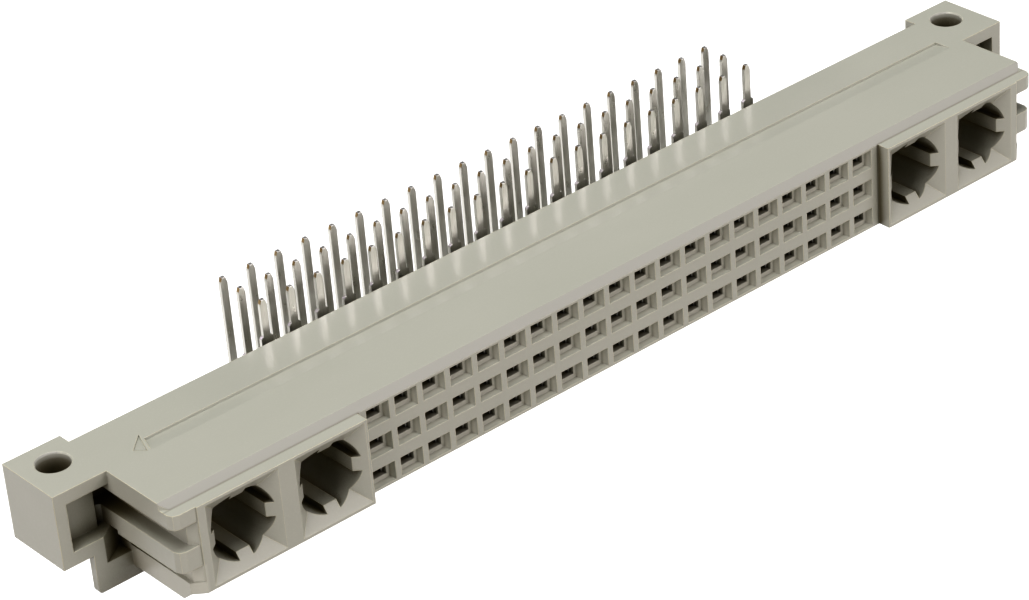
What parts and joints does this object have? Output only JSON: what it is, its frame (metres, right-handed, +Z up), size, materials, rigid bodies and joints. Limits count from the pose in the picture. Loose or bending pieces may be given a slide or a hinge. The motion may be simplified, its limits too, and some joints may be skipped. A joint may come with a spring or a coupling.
{
  "type": "female multi-pin board connector",
  "caption": "Right-angle female board connector: rows of signal sockets between keyed special-contact cavities, fixing flanges at the ends and bent solder tails.",
  "frame": {"origin": "midway between the two fixing holes, on the flat seat that meets the board", "axes": "+X along the connector, +Y from the mating face to the rear, +Z up out of the board seat, the way the solder tails point"},
  "size_m": [0.094, 0.0185, 0.0122],
  "materials": {
    "housing": "fine satin, pale pebble-grey glass-filled plastic",
    "contact": "tin-plated copper alloy, bare copper at the cut tips"
  },
  "bodies": {
    "root": {"housing": "housing", "contact_column_01": "contact", "contact_column_02": "contact", "contact_column_03": "contact", "contact_column_04": "contact", "contact_column_05": "contact", "contact_column_06": "contact", "contact_column_07": "contact", "contact_column_08": "contact", "contact_column_09": "contact", "contact_column_10": "contact", "contact_column_11": "contact", "contact_column_12": "contact", "contact_column_13": "contact", "contact_column_14": "contact", "contact_column_15": "contact", "contact_column_16": "contact", "contact_column_17": "contact", "contact_column_18": "contact", "contact_column_19": "contact", "contact_column_20": "contact"}
  },
  "joints": []
}
